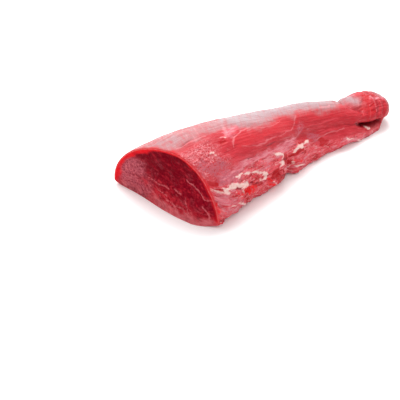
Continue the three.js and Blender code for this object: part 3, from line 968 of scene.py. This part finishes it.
def cut_meat(looks):
    """The cut face: dark crimson fibre ends with painted shade under the top of the rim, painted light that
    makes it brighter low down and at the foot, greyish mauve to one side, thin broken veins, a bright rim
    painted as a glow of light through the meat, and a pale lip outside it."""
    s = Shader("cut_meat", looks, "cut")
    bundles = s.fibres(230, 1.8, slope=0.5, seed=6, detail=4, roughness=0.65)
    ends = s.noise(480, roughness=0.75)
    flecks = s.fibres(380, 3, slope=0.45, seed=7, detail=4, roughness=0.65)
    broad = s.noise(90)

    # Painted shade under the top of the rim
    s.cover("cut_dark_and_shade", "shade", (broad, 0.2, 0.7, 0.6, 1))
    # Painted light, brighter low down
    s.cover("cut_bright_and_lit", "low", (broad, 0.2, 0.7, 0.6, 1))
    s.cover("cut_bright_and_lit", (bundles, 0.5, 0.9, 0, 0.75), ("shade", 0, 1, 1, 0.6))
    s.cover("cut_dark_and_shade", (bundles, 0.42, 0.1, 0, 0.8))
    s.cover("cut_mauve", "mauve", (bundles, 0.1, 0.6, 0.55, 1))
    s.cover("cut_bright_and_lit", (ends, 0.6, 0.95, 0, 0.6), ("shade", 0, 1, 1, 0.3))
    s.cover("cut_dark_and_shade", (ends, 0.45, 0.15, 0, 0.9))
    s.cover("vein", "mauve", (ends, 0.58, 0.85, 0, 0.7))
    s.cover("vein", "low", (flecks, 0.58, 0.85, 0, 0.65))
    # Painted light: the lighter band at the foot of the cut
    s.cover("vein", "foot", (flecks, 0.2, 0.7, 0.5, 0.95))
    s.cover("cut_mauve", (broad, 0.55, 0.9, 0, 0.25), (ends, 0.3, 0.8, 0.2, 1))
    s.cover("vein", s.frayed("vein", ends, 0.45, 0.14), 0.55)
    # Painted glow of light through the meat along the rim
    s.cover("cut_rim_glow", "rim", (broad, 0.1, 0.5, 0.85, 1))
    s.cover("lip", "lip", (ends, 0.2, 0.7, 0.35, 0.9))

    normal = s.bumps((bundles, 0.0009, 0.6), (ends, 0.0004, 0.6))
    set_flesh(s, looks.shine * CUT_SHINE, s.between(bundles, 0.3, 0.7, 0.4, 0.6), normal,
              s.between(ends, 0.6, 0.8, 0, 0.5))
    return s.material


# Pieces

def colour(name, description, red, green, blue):
    """A colour that a user can change, given as a screen colour."""
    return bpy.props.FloatVectorProperty(
        name=name, description=description, subtype="COLOR", size=4, min=0.0, max=1.0,
        default=linear(red, green, blue))


def number(name, description, default, **rules):
    """A number that a user can change."""
    return bpy.props.FloatProperty(name=name, description=description, default=default, **rules)


class RoastLooks(bpy.types.PropertyGroup):
    """Colours and finish of the roast."""

    muscle: colour("Muscle", "Red of the outer muscle", 193, 42, 54)
    # Deeper red of blotches and between fibres, which is also the painted shade over the shaded mark
    muscle_dark_and_shade: colour("Dark muscle", "Deeper red in blotches and between fibres", 167, 13, 29)
    fibre: colour("Fibres", "Lighter red of the long fibres", 206, 60, 72)
    lens: colour("Lens muscle", "Vivid red of the smooth open muscle on top", 194, 36, 46)
    strip: colour("Strip", "Coral pink of the flaky strip below the seam", 216, 74, 84)
    film: colour("Film", "Mauve pink of the thin films", 206, 110, 122)
    grain: colour("Grain", "Pink of the granular meat behind the cut", 200, 92, 99)
    purple: colour("Purple film", "Greyish purple of film over dark meat", 174, 80, 94)
    blush: colour("Blush", "Coral pink of the skin near the cut", 163, 105, 108)
    # Also the colour of the painted sheen towards the top, at the neck and along the tail's outer edge
    silver_and_sheen: colour("Silvery skin", "Whitish pink of the skin along the top", 161, 137, 141)
    pale: colour("Pale streaks", "Pale pink of flakes and film edges", 222, 140, 146)
    fat: colour("Fat", "Cream of the fat", 234, 198, 190)
    bare: colour("Bare meat", "Deep red where meat lies bare", 176, 8, 22)
    wet: colour("Wet patches", "Brightest red of wet meat low on the strip", 226, 16, 22)
    # Painted shade: dark crimson in thin folds and between fibres and flakes
    fold: colour("Folds", "Dark crimson of thin fold lines", 132, 16, 32)
    # Painted shade: the darkest red, laid deep in the creases
    crease_shade: colour("Creases", "Darkest red, deep in the creases", 96, 6, 14)
    cut: colour("Cut face", "Crimson of the cut face", 124, 2, 24)
    # Painted shade under the top of the rim, and dark flecks all over the cut
    cut_dark_and_shade: colour("Dark of the cut", "Darkest crimson, under the top of the rim", 102, 0, 16)
    # Painted light low on the cut, and lighter flecks all over it
    cut_bright_and_lit: colour("Foot of the cut", "Brighter crimson low on the cut face", 186, 38, 50)
    cut_mauve: colour("Mauve of the cut", "Greyish mauve at the far side of the cut", 160, 72, 84)
    # Painted glow of light through the meat's outer layer, along the rim
    cut_rim_glow: colour("Rim", "Bright red along the rim of the cut", 206, 22, 32)
    lip: colour("Lip", "Pale pink edge outside the rim", 216, 112, 110)
    # Also the painted light of the lighter band at the foot of the cut
    vein: colour("Veins", "Pale pink of the veins in the cut", 204, 104, 110)
    shine: number("Shine", "Strength of the plain reflection", 0.2, **SHARE)
    wetness: number("Wetness", "Strength of the thin wet layer", 0.2, **SHARE)
    translucency: number("Translucency", "How much light gets into the meat", 0.08, **SHARE)


class StageLooks(bpy.types.PropertyGroup):
    """Camera, floor and lights."""

    distance: number("Camera distance", "From the camera to the point that it looks at", 0.72,
                     unit="LENGTH", min=0.2)
    azimuth: number("Camera turn", "Turn of the camera round the roast, from the near side",
                    math.radians(-35), subtype="ANGLE")
    elevation: number("Camera height", "Angle of the camera above the table", math.radians(35),
                      subtype="ANGLE")
    aim: bpy.props.FloatVectorProperty(
        name="Camera aim", description="Point on the table that the camera looks at",
        subtype="TRANSLATION", unit="LENGTH", size=3, default=(-0.10189, -0.01162, 0.0))
    lens: number("Focal length", "Focal length in millimetres on a 36 mm sensor", 70.7, min=10.0)
    floor_colour: colour("Floor", "Colour of the plain floor", 255, 255, 255)
    sky: number("Sky", "Brightness of the white surroundings", 1.0, min=0.0)
    top_light: number("Top light", "Power of the large soft light above", 16.0, unit="POWER", min=0.0)


class ROAST_OT_make_roast(bpy.types.Operator):
    """Makes the roast with its cut face, as one closed mesh that replaces the plain solid"""

    bl_idname = "roast.make_roast"
    bl_label = "Roast"

    def execute(self, context):
        looks = context.scene.roast_looks
        grid = RoastGrid()
        outside = surface_marks(grid)
        main = main_relief(grid)
        bare_form = grid.points(main).reshape(-1, 3)
        points = grid.points(main + fine_relief(grid, outside))
        rings, middle, inside = face_points(points[0])
        face = face_marks(rings, inside)
        tip = slanted(LENGTH, *middle_line(LENGTH))
        shift = shift_to_frame(np.concatenate([bare_form, tip[None]]))
        rows = np.concatenate([rings[::-1], points]) + shift
        mesh = closed_skin("roast", middle + shift, rows, tip + shift)
        for name in outside | face:
            on_face = face.get(name, np.zeros((RINGS, COLUMNS)))
            on_side = outside.get(name, np.zeros((ROWS, COLUMNS)))
            values = np.concatenate([[0], on_face[::-1].ravel(), on_side.ravel(), [0]])
            mesh.attributes.new(name, "FLOAT", "POINT").data.foreach_set("value", values.astype(np.float32))
        mesh.materials.append(outer_meat(looks))
        mesh.materials.append(cut_meat(looks))
        on_cut = np.zeros(len(mesh.polygons), np.int32)
        on_cut[:COLUMNS + RINGS * COLUMNS] = 1
        mesh.polygons.foreach_set("material_index", on_cut)
        roast = bpy.data.objects.new("roast", mesh)
        context.scene.collection.objects.link(roast)
        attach(roast, BODY)
        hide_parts(NODE)
        return {"FINISHED"}


class ROAST_OT_make_stage(bpy.types.Operator):
    """Makes the plain floor, the soft light and the camera"""

    bl_idname = "roast.make_stage"
    bl_label = "Stage"

    def execute(self, context):
        scene = context.scene
        stage = scene.roast_stage
        mesh = bpy.data.meshes.new("floor")
        corners = [(x * FLOOR_HALF, y * FLOOR_HALF, 0) for x, y in ((-1, -1), (1, -1), (1, 1), (-1, 1))]
        mesh.from_pydata(corners, [], [(0, 1, 2, 3)])
        floor = bpy.data.objects.new("floor", mesh)
        scene.collection.objects.link(floor)
        paint = bpy.data.materials.new("floor_paint")
        paint.use_nodes = True
        shader = paint.node_tree.nodes["Principled BSDF"]
        shader.inputs["Base Color"].default_value = tuple(stage.floor_colour)
        shader.inputs["Roughness"].default_value = FLOOR_ROUGHNESS
        mesh.materials.append(paint)

        scene.world = bpy.data.worlds.new("surroundings")
        scene.world.use_nodes = True
        sky = scene.world.node_tree.nodes["Background"]
        sky.inputs["Color"].default_value = (1.0, 1.0, 1.0, 1.0)
        sky.inputs["Strength"].default_value = stage.sky
        scene.view_settings.view_transform = "Standard"

        lamp = bpy.data.lights.new("top_light", "AREA")
        lamp.size = LIGHT_SIZE
        lamp.energy = stage.top_light
        self.place(scene, lamp, Vector(LIGHT_PLACE), Vector(LIGHT_AIM))

        camera = bpy.data.cameras.new("camera")
        camera.lens = stage.lens
        camera.sensor_width = SENSOR_WIDTH
        level = math.cos(stage.elevation)
        back = Vector((math.sin(stage.azimuth) * level, -math.cos(stage.azimuth) * level,
                       math.sin(stage.elevation)))
        aim = Vector(stage.aim)
        scene.camera = self.place(scene, camera, aim + back * stage.distance, aim)
        return {"FINISHED"}

    def place(self, scene, data, place, target):
        """Puts a lamp or camera at a place, turned towards its target."""
        thing = bpy.data.objects.new(data.name, data)
        thing.location = place
        thing.rotation_euler = (target - place).to_track_quat("-Z", "Y").to_euler()
        scene.collection.objects.link(thing)
        return thing


class ROAST_PT_panel(bpy.types.Panel):
    """Lists what can be made, with its sizes and colours"""

    bl_idname = "ROAST_PT_panel"
    bl_label = "Beef tenderloin roast"
    bl_space_type = "VIEW_3D"
    bl_region_type = "UI"
    bl_category = "Roast"

    def draw(self, context):
        scene = context.scene
        for operator, group in (("roast.make_roast", scene.roast_looks),
                                ("roast.make_stage", scene.roast_stage)):
            box = self.layout.box()
            box.operator(operator)
            for name in group.__annotations__:
                box.prop(group, name)


CLASSES = (RoastLooks, StageLooks, ROAST_OT_make_roast, ROAST_OT_make_stage, ROAST_PT_panel)


def register():
    """Adds the property groups, operators and panel."""
    for kind in CLASSES:
        bpy.utils.register_class(kind)
    bpy.types.Scene.roast_looks = bpy.props.PointerProperty(type=RoastLooks)
    bpy.types.Scene.roast_stage = bpy.props.PointerProperty(type=StageLooks)


def unregister():
    """Removes what register added."""
    del bpy.types.Scene.roast_stage
    del bpy.types.Scene.roast_looks
    for kind in reversed(CLASSES):
        bpy.utils.unregister_class(kind)


def main():
    """Makes the whole scene in order."""
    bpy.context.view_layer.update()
    register()
    bpy.ops.roast.make_stage()
    bpy.ops.roast.make_roast()
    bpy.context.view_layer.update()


if __name__ == "__main__":
    main()
